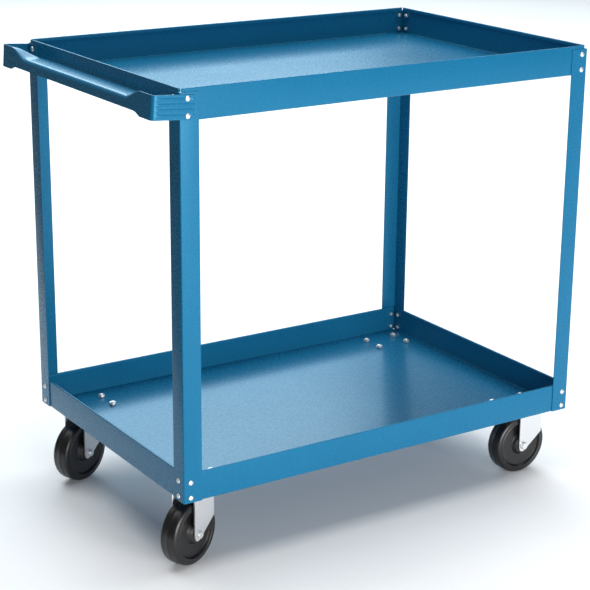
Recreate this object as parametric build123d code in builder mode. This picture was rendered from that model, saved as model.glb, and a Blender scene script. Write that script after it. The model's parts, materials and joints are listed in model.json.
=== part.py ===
from build123d import *

import math
import os

# Steel stock cart: two tray shelves on four angle legs, a pressed push handle at the -X end,
# two swivel casters under the handle end and two rigid casters under the far end.
# Millimetres, +Z up. The origin is on the floor, under the middle of the whole cart.

# Overall sizes
frame_length = 914.0  # over the outer faces of the legs
frame_width = 610.0
frame_height = 762.0  # from the lower shelf's underside to the upper shelf's rim

# Shelves, each a folded pan with its flanges up
tray_sheet = 1.5
tray_depth = 57.0
tray_bend = 1.0  # inner radius of the fold
corner_relief = 5.0  # square cut out where two flanges would meet

# Angle legs
leg_flange = 38.0
leg_sheet = 2.0
leg_bend = 0.8
leg_drop = 7.0  # how far the leg's top stays under the rim

# Frame bolts and nuts
bolt_diameter = 5.0
head_diameter = 10.0
head_height = 3.0
head_rim = 0.8  # straight side below the head's dome
nut_across_flats = 8.0
nut_height = 4.0
thread_past_nut = 1.5
hole_clearance = 0.25  # radial, in every bolted hole
thread_clearance = 0.05  # radial, between a bolt and its own nut
side_bolt_inset = 14.0  # from the frame's end to a bolt on a side face
end_bolt_inset = 20.0  # from the frame's side to a bolt on an end face
low_bolt_rise = 10.0  # from a shelf's underside to its lower bolt
bolt_spacing = 30.0

# Push handle
handle_reach = 56.0  # how far it stands out from the legs
handle_sheet = 3.0
handle_height = 43.0
handle_tilt = 4.3  # degrees, rising away from the cart
handle_lap = 14.0  # how far an arm runs past its bolts
handle_corner = 8.0
ear_width = 43.0  # full-height stretch beside each corner
dip_run = 62.0  # width over which the top edge falls
grip_top = 6.0  # above the handle's middle line
grip_bottom = -15.0
grip_chamfer_run = 17.0
grip_gap = 10.0  # between the hood's back edge and the legs
grip_round = 9.0
lip_height = 6.0
rib_count = 4
rib_pitch = 9.3
rib_width = 5.0
rib_rise = 0.8
rib_margin = 4.0  # from a rib's end to the bolt heads and to the corner's bend

# Casters
caster_inset_x = 77.0  # from the frame's end to the middle of a caster's plate
caster_inset_y = 75.0
plate_length = 98.0
plate_width = 70.0
plate_thickness = 3.0
plate_corner = 8.0
plate_hole_x = 76.0
plate_hole_y = 51.0
caster_bolt_diameter = 8.0
caster_head_flats = 13.0
caster_head_height = 5.0
caster_nut_height = 6.5
caster_thread_past = 2.0
wheel_radius = 63.5
wheel_width = 38.0
wheel_shoulder = 8.0
hub_width = 44.0
hub_radius = 17.0
rim_inner_radius = 49.0
dish_depth = 5.0  # how far the wheel's web sits in from its side
fork_thickness = 3.0
fork_side_gap = 1.0  # between the hub and a fork leg
fork_front = 46.0  # from the axle to the leg's straight front edge
fork_toe = 11.0  # radius round the axle
fork_toe_sweep = 140.0  # degrees, from the back edge round to the slanted front edge
fork_knee = 24.0  # height above the axle where the front edge turns in
fork_fold = 4.0  # outer radius of the fold into each leg
notch_clearance = 1.0  # round a plate bolt's head, in a rigid fork
wheel_headroom = 9.0  # between a wheel's top and a swivel fork's crown
axle_diameter = 9.5
axle_flats = 14.0
axle_head_height = 5.5
axle_nut_height = 7.0
axle_thread_past = 2.0
sleeve_radius = 8.0
bushing_radius = 11.0
running_clearance = 0.08  # radial, where one body turns on another
swivel_heading = 22.0  # degrees, how both swivel casters stand at rest
swivel_trail = 38.5
rigid_offset = 9.0  # from a rigid caster's plate middle to its axle
kingpin_radius = 5.0
kingpin_head_radius = 8.0
kingpin_head_height = 4.0
kingpin_head_chamfer = 1.0
raceway_gap = 8.0  # between the swivel plate and the fork's crown
upper_ball_radius = 3.0
upper_ball_circle = 20.0
upper_ball_count = 14
race_half_width = 5.0
race_split = 1.2  # open height between the two halves of the upper race
lower_ball_radius = 2.0
lower_ball_circle = 12.0
lower_ball_count = 12
lower_race_radius = 16.0
lower_race_height = 3.0
ball_clearance = 0.1

# Hexagons, as shares of their half width across the flats
hex_land = 0.95  # flat circle inside the chamfer
hex_tip = 1.2  # where the chamfer's cone has cleared the corners
hex_chamfer = 30.0  # degrees
thread_lead = 0.1  # chamfer on a bolt's end, as a share of its diameter

# Modelling aids
overrun = 1.0  # how far a cut runs past what it cuts
near = 0.1  # slack when an edge is picked by its place
mostly_along = 0.9  # cosine above which an edge counts as running along a direction

# Floor to the lower shelf's underside: a swivel caster's pieces stacked over its wheel
fork_top = 2 * wheel_radius + wheel_headroom + fork_thickness
caster_height = fork_top + raceway_gap + plate_thickness
# The frame's middle sits off the origin, so that the whole cart's box is centred on it.
frame_x = (handle_reach - head_height) / 2
lower_z = caster_height
rim_z = caster_height + frame_height
upper_z = rim_z - tray_depth
half_length = frame_length / 2
half_width = frame_width / 2
up = Vector(0, 0, 1)
tray_length = frame_length - 2 * leg_sheet
tray_width = frame_width - 2 * leg_sheet
frame_plane = Plane((frame_x, 0, 0))

# Corners as (x side, y side). The handle end is the rear, and left and right are a pusher's.
corners = {
    "rear_left": (-1, 1),
    "rear_right": (-1, -1),
    "front_left": (1, 1),
    "front_right": (1, -1),
}

os.makedirs("parts", exist_ok=True)


def save(piece, name):
    """Label a finished piece and write its STEP file."""
    piece.part.label = name
    export_step(piece.part, f"parts/{name}.step")


def side_bolt_plane(side_x, side_y, z):
    """Plane on a leg's side face, at a bolt, facing outwards."""
    x = frame_x + side_x * (half_length - side_bolt_inset)
    return Plane((x, side_y * half_width, z), x_dir=(1, 0, 0), z_dir=(0, side_y, 0))


def end_bolt_plane(side_x, side_y, z):
    """Plane on a leg's end face, at a bolt, facing outwards."""
    y = side_y * (half_width - end_bolt_inset)
    return Plane((frame_x + side_x * half_length, y, z), x_dir=(0, 1, 0), z_dir=(side_x, 0, 0))


# Where the frame bolts sit. The handle's own bolts stand in for four of the legs'.
leg_planes = []
handle_planes = []
for side_x, side_y in corners.values():
    for shelf_z in (lower_z, upper_z):
        for z in (shelf_z + low_bolt_rise, shelf_z + low_bolt_rise + bolt_spacing):
            at_handle = side_x < 0 and shelf_z == upper_z
            bolts_here = handle_planes if at_handle else leg_planes
            bolts_here.append(side_bolt_plane(side_x, side_y, z))
            leg_planes.append(end_bolt_plane(side_x, side_y, z))
frame_planes = leg_planes + handle_planes
frame_hole = bolt_diameter / 2 + hole_clearance
frame_grip = leg_sheet + tray_sheet

# Middle of each caster's plate, and its four bolt holes
caster_middle = {
    name: (
        frame_x + side_x * (half_length - caster_inset_x),
        side_y * (half_width - caster_inset_y),
    )
    for name, (side_x, side_y) in corners.items()
}
caster_bolt_points = [
    (x + side_x * plate_hole_x / 2, y + side_y * plate_hole_y / 2)
    for x, y in caster_middle.values()
    for side_x, side_y in corners.values()
]
caster_hole = caster_bolt_diameter / 2 + hole_clearance

# ---- Shelves ----
for name, shelf_z in (("upper_tray", upper_z), ("lower_tray", lower_z)):
    with BuildPart() as tray:
        with BuildSketch(frame_plane.offset(shelf_z)):
            Rectangle(tray_length, tray_width)
        extrude(amount=tray_depth)
        fillet(tray.faces().sort_by(Axis.Z)[0].edges(), tray_bend + tray_sheet)
        offset(amount=-tray_sheet, openings=tray.faces().sort_by(Axis.Z)[-1])
        with BuildSketch(frame_plane.offset(shelf_z)):
            with GridLocations(tray_length, tray_width, 2, 2):
                Rectangle(2 * corner_relief, 2 * corner_relief)
        extrude(amount=tray_depth, mode=Mode.SUBTRACT)
        with Locations(*frame_planes):
            Hole(frame_hole, depth=frame_grip + tray_sheet)
        if name == "lower_tray":
            with Locations(*[(x, y, shelf_z + tray_sheet) for x, y in caster_bolt_points]):
                Hole(caster_hole, depth=2 * tray_sheet)
    save(tray, name)

# ---- Legs ----
for name, (side_x, side_y) in corners.items():
    corner = Vector(frame_x + side_x * half_length, side_y * half_width)
    reach = [(0, 0), (leg_flange, 0), (leg_flange, leg_sheet)]
    reach += [(leg_sheet, leg_sheet), (leg_sheet, leg_flange), (0, leg_flange)]
    with BuildPart() as leg:
        with BuildSketch(Plane.XY.offset(lower_z)) as section:
            with BuildLine():
                Polyline(*[corner - Vector(side_x * x, side_y * y) for x, y in reach], close=True)
            make_face()
            outer, inner = section.vertices().sort_by_distance(corner)[:2]
            fillet(outer, leg_bend + leg_sheet)
            fillet(inner, leg_bend)
        extrude(amount=frame_height - leg_drop)
        with Locations(*frame_planes):
            Hole(frame_hole, depth=2 * leg_sheet)
    save(leg, f"{name}_leg")

# ---- Push handle ----
# Its own plane lies between the arms' bolts: X runs out along the arms, Z is its height.
tilt = math.radians(handle_tilt)
half_height = handle_height / 2
handle_out = Vector(-math.cos(tilt), 0, math.sin(tilt))
handle_up = Vector(math.sin(tilt), 0, math.cos(tilt))
handle_origin = Vector(
    frame_x - half_length + side_bolt_inset, 0, upper_z + low_bolt_rise + bolt_spacing / 2
)
handle_plane = Plane(handle_origin, x_dir=handle_out, z_dir=handle_up)
# Its outermost point is the lower front edge, which the tilt carries out a little.
tilted_reach = handle_reach + side_bolt_inset - half_height * math.sin(tilt)
handle_front = tilted_reach / math.cos(tilt)
arm_outer = half_width + handle_sheet
front_plane = Plane(handle_origin + handle_front * handle_out, x_dir=(0, -1, 0), z_dir=handle_out)
grip_half = arm_outer - ear_width
grip_depth = handle_reach - grip_gap
dip_half = grip_half - dip_run


def grip_outline(top_drop, foot_y, bottom_y):
    """Closed outline of the grip seen from the front, its top edge lowered by top_drop."""
    ear_y = half_height - top_drop
    flat_y = grip_top - top_drop
    foot_half = grip_half - grip_chamfer_run
    with BuildLine() as outline:
        Spline((-grip_half, ear_y), (-dip_half, flat_y), tangents=[(1, 0), (1, 0)])
        Line((-dip_half, flat_y), (dip_half, flat_y))
        Spline((dip_half, flat_y), (grip_half, ear_y), tangents=[(1, 0), (1, 0)])
        Polyline(
            (grip_half, ear_y),
            (grip_half, foot_y),
            (foot_half, bottom_y),
            (-foot_half, bottom_y),
            (-grip_half, foot_y),
            (-grip_half, ear_y),
        )
    return outline.line


def top_front_edges(piece, plane, lowest):
    """The edges in a plane that run along the grip's top."""
    middles = [(edge, plane.to_local_coords(edge @ 0.5)) for edge in piece.edges()]
    return [
        edge
        for edge, middle in middles
        if abs(middle.Z) < near and middle.Y > lowest - near and abs(middle.X) < grip_half - near
    ]


with BuildPart() as grip_skin:
    with BuildSketch(front_plane):
        add(grip_outline(0, -half_height, grip_bottom))
        make_face()
    extrude(amount=-grip_depth)
    fillet(top_front_edges(grip_skin, front_plane, grip_top), grip_round)

core_plane = front_plane.offset(-handle_sheet)
core_top = grip_top - handle_sheet
with BuildPart() as grip_core:
    with BuildSketch(core_plane):
        add(grip_outline(handle_sheet, -handle_height, -handle_height))
        make_face()
    extrude(amount=2 * handle_sheet - grip_depth)
    fillet(top_front_edges(grip_core, core_plane, core_top), grip_round - handle_sheet)

with BuildPart() as push_handle:
    # One strap makes both arms and the two ears
    with BuildSketch(handle_plane.offset(-half_height)) as strap:
        with BuildLine():
            Polyline(
                (-handle_lap, arm_outer),
                (handle_front, arm_outer),
                (handle_front, -arm_outer),
                (-handle_lap, -arm_outer),
                (-handle_lap, -half_width),
                (handle_front - handle_sheet, -half_width),
                (handle_front - handle_sheet, half_width),
                (-handle_lap, half_width),
                close=True,
            )
        make_face()
        fronts = strap.vertices().group_by(Axis.X)
        fillet(fronts[-1], handle_corner)
        fillet(fronts[-2], handle_corner - handle_sheet)
    extrude(amount=handle_height)
    # The hooded grip takes the place of the strap's front between the ears
    with BuildSketch(core_plane.offset(-handle_sheet)):
        Rectangle(2 * grip_half, 2 * handle_height)
    extrude(amount=3 * handle_sheet, mode=Mode.SUBTRACT)
    add(grip_skin.part)
    add(grip_core.part, mode=Mode.SUBTRACT)
    # Only a short lip stays of the hood's back wall
    with BuildSketch(front_plane.offset(-grip_depth - overrun)):
        with Locations((0, grip_top - lip_height - handle_height)):
            Rectangle(2 * grip_half + overrun, 2 * handle_height)
    extrude(amount=handle_sheet + overrun, mode=Mode.SUBTRACT)
    # The hood narrows to nothing behind each ear, which is open at the top
    with BuildSketch(handle_plane.offset(-handle_height)):
        for side in (1, -1):
            with BuildLine():
                Polyline(
                    (handle_front - handle_sheet, side * grip_half),
                    (handle_front - grip_depth - overrun, side * dip_half),
                    (handle_front - grip_depth - overrun, side * (grip_half + overrun)),
                    (handle_front - handle_sheet, side * (grip_half + overrun)),
                    close=True,
                )
            make_face()
    extrude(amount=2 * handle_height, mode=Mode.SUBTRACT)
    # Ribs pressed outwards along both arms
    rib_start = head_diameter / 2 + rib_margin
    rib_end = handle_front - handle_corner - rib_margin
    rib_middle = handle_origin + (rib_start + rib_end) / 2 * handle_out
    for side in (1, -1):
        arm_face = Plane(
            rib_middle + Vector(0, side * arm_outer, 0), x_dir=handle_out, z_dir=(0, side, 0)
        )
        with BuildSketch(arm_face):
            with GridLocations(0, rib_pitch, 1, rib_count):
                SlotOverall(rib_end - rib_start, rib_width)
        extrude(amount=rib_rise)
    with Locations(*[plane.offset(handle_sheet + rib_rise) for plane in handle_planes]):
        Hole(frame_hole, depth=2 * handle_sheet)
save(push_handle, "push_handle")

# ---- Frame bolts and nuts ----


def dome_bolt(grip):
    """Low-domed bolt on the Z axis, its head's seat at z = 0 and its shank running down."""
    length = grip + nut_height + thread_past_nut
    with BuildPart() as bolt:
        with BuildSketch(Plane.XZ):
            with BuildLine():
                Polyline(
                    (0, head_height),
                    (0, -length),
                    (bolt_diameter / 2, -length),
                    (bolt_diameter / 2, 0),
                    (head_diameter / 2, 0),
                    (head_diameter / 2, head_rim),
                )
                TangentArc((0, head_height), (head_diameter / 2, head_rim), tangent=(1, 0))
            make_face()
        revolve(axis=Axis.Z)
    return bolt.part


def hex_nut(across_flats, height, thread_diameter):
    """Hexagon nut on the Z axis, standing on z = 0, with both rims turned down."""
    with BuildPart() as nut:
        with BuildSketch():
            RegularPolygon(across_flats / 2, 6, major_radius=False)
            Circle(thread_diameter / 2 + thread_clearance, mode=Mode.SUBTRACT)
        extrude(amount=height)
        with BuildSketch(Plane.XZ):
            with BuildLine():
                flat, tip = hex_land * across_flats / 2, hex_tip * across_flats / 2
                drop = (tip - flat) * math.tan(math.radians(hex_chamfer))
                Polyline((0, 0), (flat, 0), (tip, drop), (tip, height - drop))
                Polyline((tip, height - drop), (flat, height), (0, height), (0, 0))
            make_face()
        revolve(axis=Axis.Z, mode=Mode.INTERSECT)
    return nut.part


def hex_bolt(diameter, across_flats, head, length):
    """Hexagon bolt on the Z axis, its head standing on z = 0 and its shank running down."""
    with BuildPart() as bolt:
        with BuildSketch():
            RegularPolygon(across_flats / 2, 6, major_radius=False)
        extrude(amount=head)
        with BuildSketch(Plane.XZ):
            with BuildLine():
                flat, tip = hex_land * across_flats / 2, hex_tip * across_flats / 2
                drop = (tip - flat) * math.tan(math.radians(hex_chamfer))
                Polyline((0, 0), (tip, 0), (tip, head - drop), (flat, head), (0, head), (0, 0))
            make_face()
        revolve(axis=Axis.Z, mode=Mode.INTERSECT)
        with BuildSketch():
            Circle(diameter / 2)
        extrude(amount=-length)
        chamfer(bolt.edges().sort_by(Axis.Z)[0], thread_lead * diameter)
    return bolt.part


def save_group(one, planes, name):
    """One node of like pieces, a copy of the one at each plane."""
    with BuildPart() as group:
        with Locations(*planes):
            add(one)
    save(group, name)


frame_nut = hex_nut(nut_across_flats, nut_height, bolt_diameter)
seats = -(frame_grip + nut_height)
save_group(dome_bolt(frame_grip), leg_planes, "leg_bolts")
save_group(frame_nut, [plane.offset(seats) for plane in leg_planes], "leg_nuts")
arm_planes = [plane.offset(handle_sheet) for plane in handle_planes]
save_group(dome_bolt(frame_grip + handle_sheet), arm_planes, "handle_bolts")
save_group(frame_nut, [plane.offset(seats) for plane in handle_planes], "handle_nuts")

# ---- Caster mounting bolts, heads below and nuts on the lower shelf ----
caster_grip = plate_thickness + tray_sheet
bolt_down = [
    Plane((x, y, lower_z - plate_thickness), x_dir=(1, 0, 0), z_dir=(0, 0, -1))
    for x, y in caster_bolt_points
]
caster_bolt = hex_bolt(
    caster_bolt_diameter,
    caster_head_flats,
    caster_head_height,
    caster_grip + caster_nut_height + caster_thread_past,
)
caster_nut = hex_nut(caster_head_flats, caster_nut_height, caster_bolt_diameter)
nut_seats = [Plane((x, y, lower_z + tray_sheet)) for x, y in caster_bolt_points]
save_group(caster_bolt, bolt_down, "caster_bolts")
save_group(caster_nut, nut_seats, "caster_nuts")

# ---- Casters ----
plate_z = lower_z - plate_thickness
crown_z = fork_top  # top of a swivel fork's crown
upper_ball_z = (plate_z + crown_z) / 2
lower_ball_z = crown_z - fork_thickness - ball_clearance - lower_ball_radius
race_z = lower_ball_z - race_split / 2  # top of the lower race
fork_inner = hub_width / 2 + fork_side_gap
fork_outer = fork_inner + fork_thickness
notch_width = caster_head_flats / math.cos(math.pi / 6) + 2 * notch_clearance

for name, (side_x, side_y) in corners.items():
    swivels = side_x < 0
    middle_x, middle_y = caster_middle[name]
    heading = math.radians(swivel_heading if swivels else 0)
    ahead = Vector(math.cos(heading), math.sin(heading), 0)
    # A swivel wheel trails behind its kingpin. A rigid wheel stands just ahead of its plate's middle.
    axle_offset = -swivel_trail if swivels else rigid_offset
    axle_point = Vector(middle_x, middle_y, wheel_radius) + axle_offset * ahead
    # Side view of the caster, X ahead and Y up, and a plane square to the axle for turned pieces
    side_plane = Plane(axle_point, x_dir=ahead, z_dir=ahead.rotate(Axis.Z, -90))
    turning_plane = Plane(axle_point, x_dir=(0, 0, 1), z_dir=ahead)
    axle_line = Axis(axle_point, side_plane.z_dir)
    top_z = crown_z if swivels else plate_z
    crown_rise = top_z - wheel_radius

    # Plate, with the upper half of the raceway on a swivel caster
    with BuildPart() as plate:
        with BuildSketch(Plane((middle_x, middle_y, plate_z))):
            RectangleRounded(plate_length, plate_width, plate_corner)
        extrude(amount=plate_thickness)
        with Locations(*[(x, y, lower_z) for x, y in caster_bolt_points]):
            Hole(caster_hole, depth=2 * plate_thickness)
        if swivels:
            with BuildSketch(Plane((middle_x, middle_y, plate_z))):
                Circle(upper_ball_circle + race_half_width)
                Circle(upper_ball_circle - race_half_width, mode=Mode.SUBTRACT)
            extrude(amount=-(raceway_gap - race_split) / 2)
            with Locations((middle_x, middle_y, upper_ball_z)):
                Torus(upper_ball_circle, upper_ball_radius + ball_clearance, mode=Mode.SUBTRACT)
            with Locations((middle_x, middle_y, lower_z)):
                Hole(kingpin_radius + thread_clearance, depth=2 * plate_thickness)
    save(plate, f"{name}_caster_plate")

    # Fork: two legs under a crown, folded from one strip
    with BuildPart() as fork:
        with BuildSketch(side_plane):
            with BuildLine():
                toe = CenterArc((0, 0), fork_toe, 180, fork_toe_sweep)
                Polyline(
                    toe @ 0,
                    (-fork_toe, crown_rise),
                    (fork_front, crown_rise),
                    (fork_front, fork_knee),
                    toe @ 1,
                )
            make_face()
        extrude(amount=fork_outer, both=True)
        with BuildSketch(side_plane):
            with Locations((0, crown_rise - fork_thickness)):
                Rectangle(8 * wheel_radius, 4 * wheel_radius, align=(Align.CENTER, Align.MAX))
        extrude(amount=fork_inner, both=True, mode=Mode.SUBTRACT)
        top_edges = fork.faces().sort_by(Axis.Z)[-1].edges()
        fillet(top_edges.filter_by(lambda e: abs((e % 0.5).dot(ahead)) > mostly_along), fork_fold)
        if swivels:
            # Round crown with the lower half of the upper raceway on it
            with BuildSketch(Plane((middle_x, middle_y, crown_z))):
                Circle(fork_outer)
            extrude(amount=-fork_thickness)
            with BuildSketch(Plane((middle_x, middle_y, crown_z))):
                Circle(upper_ball_circle + race_half_width)
                Circle(upper_ball_circle - race_half_width, mode=Mode.SUBTRACT)
            extrude(amount=(raceway_gap - race_split) / 2)
            with Locations((middle_x, middle_y, upper_ball_z)):
                Torus(upper_ball_circle, upper_ball_radius + ball_clearance, mode=Mode.SUBTRACT)
            with Locations((middle_x, middle_y, upper_ball_z)):
                Hole(kingpin_radius + running_clearance, depth=2 * raceway_gap)
        else:
            # Notches that clear the heads of the plate's front bolts
            with BuildSketch(Plane((middle_x, middle_y, plate_z))):
                with GridLocations(plate_hole_x, plate_hole_y, 2, 2):
                    Rectangle(notch_width, notch_width)
            extrude(amount=-caster_head_height - notch_clearance, mode=Mode.SUBTRACT)
        with BuildSketch(side_plane):
            Circle(axle_diameter / 2 + hole_clearance)
        extrude(amount=2 * fork_outer, both=True, mode=Mode.SUBTRACT)
    save(fork, f"{name}_fork")

    if swivels:
        # Headed kingpin, and the lower race that hangs on its head
        washer_z = race_z - lower_race_height
        with BuildPart() as kingpin:
            with BuildSketch(Plane((middle_x, middle_y, washer_z))):
                Circle(kingpin_head_radius)
            extrude(amount=-kingpin_head_height)
            chamfer(kingpin.edges().sort_by(Axis.Z)[0], kingpin_head_chamfer)
            with BuildSketch(Plane((middle_x, middle_y, washer_z))):
                Circle(kingpin_radius)
            extrude(amount=lower_z - washer_z)
        save(kingpin, f"{name}_kingpin")

        with BuildPart() as lower_race:
            with BuildSketch(Plane((middle_x, middle_y, race_z))):
                Circle(lower_race_radius)
                Circle(kingpin_radius + thread_clearance, mode=Mode.SUBTRACT)
            extrude(amount=-lower_race_height)
            with Locations((middle_x, middle_y, lower_ball_z)):
                Torus(lower_ball_circle, lower_ball_radius + ball_clearance, mode=Mode.SUBTRACT)
        save(lower_race, f"{name}_lower_race")

        with BuildPart() as upper_balls:
            with Locations((middle_x, middle_y, upper_ball_z)):
                with PolarLocations(upper_ball_circle, upper_ball_count):
                    Sphere(upper_ball_radius)
        save(upper_balls, f"{name}_upper_balls")

        with BuildPart() as lower_balls:
            with Locations((middle_x, middle_y, lower_ball_z)):
                with PolarLocations(lower_ball_circle, lower_ball_count):
                    Sphere(lower_ball_radius)
        save(lower_balls, f"{name}_lower_balls")

    # Axle bolt with its head on the cart's outer side, and its nut inside
    outward = -side_y * side_plane.z_dir
    head_plane = Plane(axle_point + fork_outer * outward, x_dir=up, z_dir=outward)
    nut_plane = Plane(axle_point - fork_outer * outward, x_dir=up, z_dir=-outward)
    axle_length = 2 * fork_outer + axle_nut_height + axle_thread_past
    axle = hex_bolt(axle_diameter, axle_flats, axle_head_height, axle_length)
    save_group(axle, [head_plane], f"{name}_axle_bolt")
    axle_nut = hex_nut(axle_flats, axle_nut_height, axle_diameter)
    save_group(axle_nut, [nut_plane], f"{name}_axle_nut")

    # Sleeve clamped between the fork legs, which the bushing in the wheel turns on
    with BuildPart() as sleeve:
        with BuildSketch(side_plane):
            Circle(sleeve_radius)
            Circle(axle_diameter / 2 + hole_clearance, mode=Mode.SUBTRACT)
        extrude(amount=fork_inner, both=True)
    save(sleeve, f"{name}_axle_sleeve")

    with BuildPart() as bushing:
        with BuildSketch(side_plane):
            Circle(bushing_radius)
            Circle(sleeve_radius + running_clearance, mode=Mode.SUBTRACT)
        extrude(amount=hub_width / 2, both=True)
    save(bushing, f"{name}_wheel_bushing")

    # Moulded wheel, turned from half its section: X is the radius, Y runs along the axle
    half_tread = wheel_width / 2
    with BuildPart() as wheel:
        with BuildSketch(turning_plane):
            with BuildLine():
                rim = Polyline(
                    (wheel_radius, 0),
                    (wheel_radius, half_tread - wheel_shoulder),
                )
                shoulder = TangentArc(
                    rim @ 1,
                    (wheel_radius - wheel_shoulder, half_tread),
                    tangent=(0, 1),
                )
                Polyline(
                    shoulder @ 1,
                    (rim_inner_radius, half_tread),
                    (rim_inner_radius - dish_depth / 2, half_tread - dish_depth),
                    (hub_radius + dish_depth, half_tread - dish_depth),
                    (hub_radius, hub_width / 2),
                    (bushing_radius, hub_width / 2),
                    (bushing_radius, 0),
                    rim @ 0,
                )
            make_face()
            mirror(about=Plane.XZ)
        revolve(axis=axle_line)
    save(wheel, f"{name}_wheel")
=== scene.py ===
"""Steel stock cart: folded trays, angle legs, pressed push handle and four casters.

Everything is in metres, +Z up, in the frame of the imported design. Pieces made here stand for
the design's nodes of the same shape, and the bearing pieces keep their own meshes.
"""

import json
import math

import bmesh
import bpy
from bpy.props import FloatProperty, FloatVectorProperty, IntProperty, PointerProperty
from mathutils import Matrix, Vector

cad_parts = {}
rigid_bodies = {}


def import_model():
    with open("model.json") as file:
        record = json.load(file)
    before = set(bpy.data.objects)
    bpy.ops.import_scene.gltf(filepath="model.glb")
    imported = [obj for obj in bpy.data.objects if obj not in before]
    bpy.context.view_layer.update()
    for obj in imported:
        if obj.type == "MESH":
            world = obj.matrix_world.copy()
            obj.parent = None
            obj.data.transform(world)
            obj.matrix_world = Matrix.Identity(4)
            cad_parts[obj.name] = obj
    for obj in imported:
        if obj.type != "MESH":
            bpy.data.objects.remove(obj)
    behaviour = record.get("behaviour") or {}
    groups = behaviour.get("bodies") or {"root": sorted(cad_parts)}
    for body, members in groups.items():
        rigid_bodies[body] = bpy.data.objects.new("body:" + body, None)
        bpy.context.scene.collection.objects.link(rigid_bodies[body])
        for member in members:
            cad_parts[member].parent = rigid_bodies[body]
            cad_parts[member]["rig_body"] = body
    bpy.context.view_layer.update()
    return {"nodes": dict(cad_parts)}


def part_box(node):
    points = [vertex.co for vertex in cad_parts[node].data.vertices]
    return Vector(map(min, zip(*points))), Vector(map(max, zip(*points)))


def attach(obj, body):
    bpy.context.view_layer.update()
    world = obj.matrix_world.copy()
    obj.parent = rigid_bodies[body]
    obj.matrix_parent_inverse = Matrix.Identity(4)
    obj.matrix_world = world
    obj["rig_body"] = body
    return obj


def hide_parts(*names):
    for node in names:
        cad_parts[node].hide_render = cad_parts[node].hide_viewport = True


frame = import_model()

bl_info = {
    "name": "Stock Cart",
    "version": (1, 0, 0),
    "blender": (4, 5, 0),
    "location": "View3D > Sidebar > Stock Cart",
    "description": "Builds a two-shelf steel stock cart round its packed design",
    "category": "Add Mesh",
}

MM = 0.001
# Corner names with their sides in X and Y. The handle end is the rear.
CORNERS = {
    "rear_left": (-1, 1),
    "rear_right": (-1, -1),
    "front_left": (1, 1),
    "front_right": (1, -1),
}
UP = Vector((0, 0, 1))
# Two lengths closer than this are the same
HAIR = 1e-6


# ---- Colour and material helpers ----


def linear(hex_text):
    """sRGB hex such as "3a7ca5" as linear red, green and blue."""
    shares = [int(hex_text[i : i + 2], 16) / 255 for i in (0, 2, 4)]
    return [s / 12.92 if s <= 0.04045 else ((s + 0.055) / 1.055) ** 2.4 for s in shares]


def colour_setting(name, description, hex_text):
    return FloatVectorProperty(
        name=name, description=description, subtype="COLOR", size=3, min=0, max=1,
        default=linear(hex_text),
    )


def length_setting(name, description, millimetres):
    return FloatProperty(
        name=name, description=description, unit="LENGTH", default=millimetres * MM, min=0
    )


def add_node(material, kind, inputs=None, **settings):
    """Add a node, set its options, and give each named input a value or a link."""
    tree = material.node_tree
    node = tree.nodes.new("ShaderNode" + kind)
    for name, value in settings.items():
        setattr(node, name, value)
    for name, value in (inputs or {}).items():
        if isinstance(value, bpy.types.NodeSocket):
            tree.links.new(value, node.inputs[name])
        else:
            node.inputs[name].default_value = value
    return node


def blank_material(name):
    """A material that holds only a source of Object coordinates, and those coordinates."""
    material = bpy.data.materials.new(name)
    material.use_nodes = True
    material.node_tree.nodes.clear()
    place = add_node(material, "TexCoord").outputs["Object"]
    return material, place


def lumps(width):
    """Noise scale whose lumps are so many millimetres across."""
    return 1 / (width * MM)


def toned(colour, amount):
    """A colour made lighter or darker, with its alpha."""
    return [*(min(1.0, share * amount) for share in colour), 1]


def baked_enamel(colour):
    """Baked enamel on steel sheet. Satin gloss, a fine orange peel and slow waves in the sheet."""
    material, place = blank_material("baked_enamel")
    clouds = add_node(material, "TexNoise", {"Vector": place, "Scale": lumps(160)})
    # Real orange peel is about 1 mm across. It is drawn at 2.5 mm so that it shows.
    peel = add_node(material, "TexNoise", {"Vector": place, "Scale": lumps(2.5), "Detail": 3})
    waves = add_node(material, "TexNoise", {"Vector": place, "Scale": lumps(210), "Detail": 1})
    shade = add_node(
        material, "Mix",
        {0: clouds.outputs[0], 6: toned(colour, 0.93), 7: toned(colour, 1.08)}, data_type="RGBA",
    )
    gloss = add_node(material, "MapRange", {"Value": peel.outputs[0], "To Min": 0.24, "To Max": 0.31})
    wavy = add_node(
        material, "Bump", {"Height": waves.outputs[0], "Distance": 1.6 * MM, "Strength": 0.6}
    )
    pebbled = add_node(
        material, "Bump",
        {
            "Height": peel.outputs[0], "Distance": 0.03 * MM, "Strength": 0.35,
            "Normal": wavy.outputs[0],
        },
    )
    paint = add_node(
        material, "BsdfPrincipled",
        {
            "Base Color": shade.outputs[2], "Roughness": gloss.outputs[0],
            "Normal": pebbled.outputs[0], "IOR": 1.5, "Specular Tint": (0.25, 0.7, 1, 1),
        },
    )
    add_node(material, "OutputMaterial", {"Surface": paint.outputs[0]})
    return material


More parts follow.
